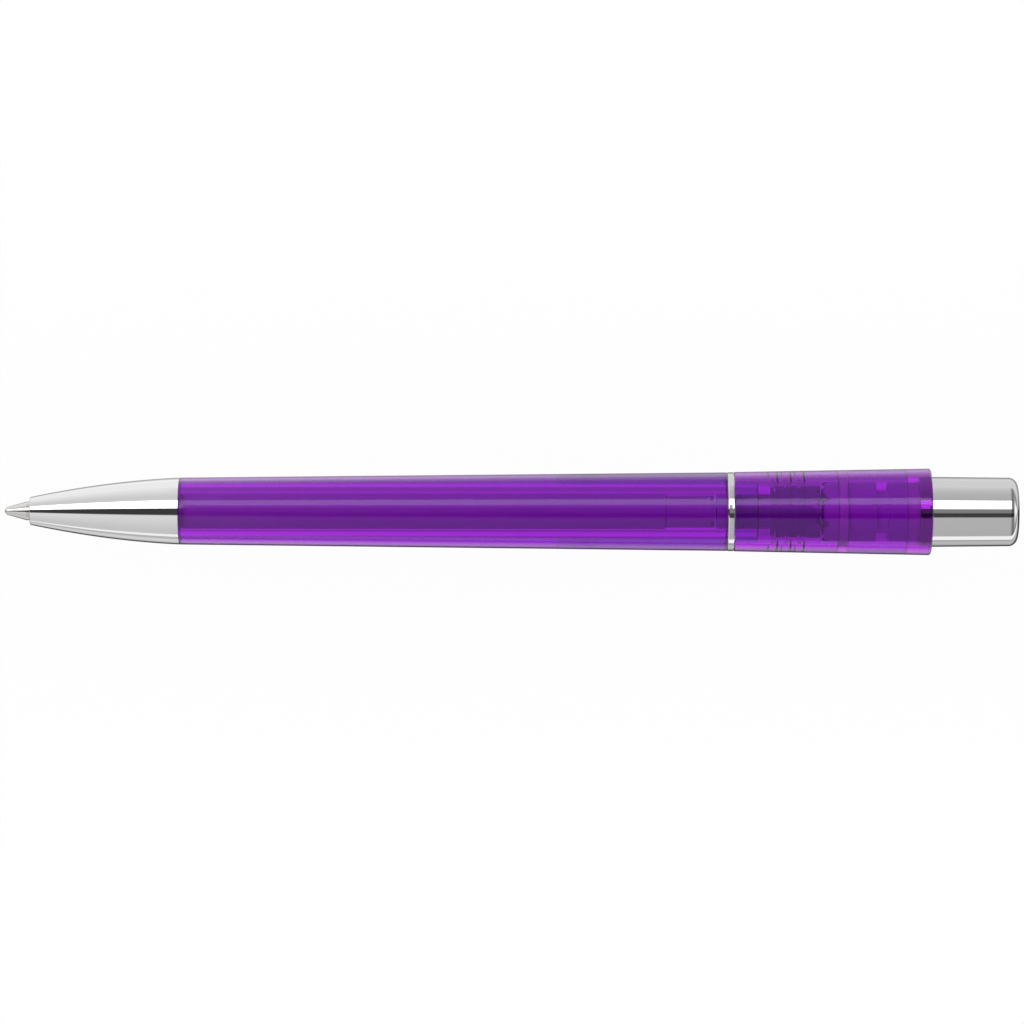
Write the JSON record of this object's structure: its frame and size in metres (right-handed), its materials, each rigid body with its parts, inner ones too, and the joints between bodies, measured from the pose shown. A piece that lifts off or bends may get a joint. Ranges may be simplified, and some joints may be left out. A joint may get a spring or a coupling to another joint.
{
  "type": "pushbutton ballpoint pen",
  "caption": "Retractable pushbutton ballpoint pen with a clear purple barrel, a chrome nose cone, ring and long button, and a plastic pocket clip.",
  "frame": {"origin": "middle of the pen's length, below its axis, on the plane that the clip's flat outer face rests on", "axes": "+X along the pen from the writing tip to the button, +Z from the clip up through the pen, +Y across it"},
  "size_m": [0.1396, 0.012, 0.0141],
  "materials": {
    "purple_plastic": "clear tinted, polished",
    "inner_plastic": "moulded",
    "chrome": "bright chrome plate",
    "tip_metal": "turned nickel silver",
    "tube_plastic": "extruded grey tube",
    "neck_brass": "turned",
    "spring_steel": "drawn wire",
    "white_plastic": "moulded",
    "ink": "wet ink"
  },
  "bodies": {
    "pen_body": {"front_barrel": "purple_plastic", "middle_ring": "chrome", "rear_barrel": "purple_plastic", "cam_guide": "inner_plastic"},
    "button": {"push_button": "chrome", "plunger": "purple_plastic"},
    "refill": {"refill_tip": "tip_metal", "refill_neck": "neck_brass", "refill_tube": "tube_plastic", "ink_column": "ink", "refill_crown": "white_plastic"},
    "cam": {"rotating_cam": "inner_plastic"},
    "ball": {"writing_ball": "tip_metal"},
    "spring": {"return_spring": "spring_steel"},
    "nose": {"nose_cone": "chrome"},
    "clip": {"clip": "purple_plastic"}
  },
  "joints": [
    {"name": "button_slide", "type": "slide", "parent": "pen_body", "child": "button", "axis": [1, 0, 0], "range_m": [-0.0014, 0.0046], "stiffness_N_per_m": 300},
    {"name": "refill_slide", "type": "slide", "parent": "pen_body", "child": "refill", "axis": [1, 0, 0], "range_m": [-0.0014, 0.0046], "deforming": ["return_spring"]},
    {"name": "cam_turn", "type": "hinge", "parent": "refill", "child": "cam", "pos_m": [0.03577, 0, 0.00812], "axis": [1, 0, 0], "continuous": true},
    {"name": "ball_roll", "type": "hinge", "parent": "refill", "child": "ball", "pos_m": [-0.06938, 0, 0.00812], "axis": [0, 1, 0], "continuous": true},
    {"name": "nose_travel", "type": "slide", "parent": "pen_body", "child": "spring", "axis": [-1, 0, 0], "range_m": [0, 0.0048]},
    {"name": "nose_unscrew", "type": "hinge", "parent": "spring", "child": "nose", "pos_m": [-0.04563, 0, 0.00812], "axis": [-1, 0, 0], "range_deg": [0, 1440.5]},
    {"name": "clip_flex", "type": "hinge", "parent": "pen_body", "child": "clip", "pos_m": [0.05203, 0, 0.00252], "axis": [0, -1, 0], "range_deg": [0, 3], "stiffness_Nm_per_rad": 5}
  ],
  "couplings": [
    {"joint": "refill_slide", "follows": "button_slide", "ratio": 1},
    {"joint": "nose_unscrew", "follows": "nose_travel", "rad_per_m": 5236}
  ]
}
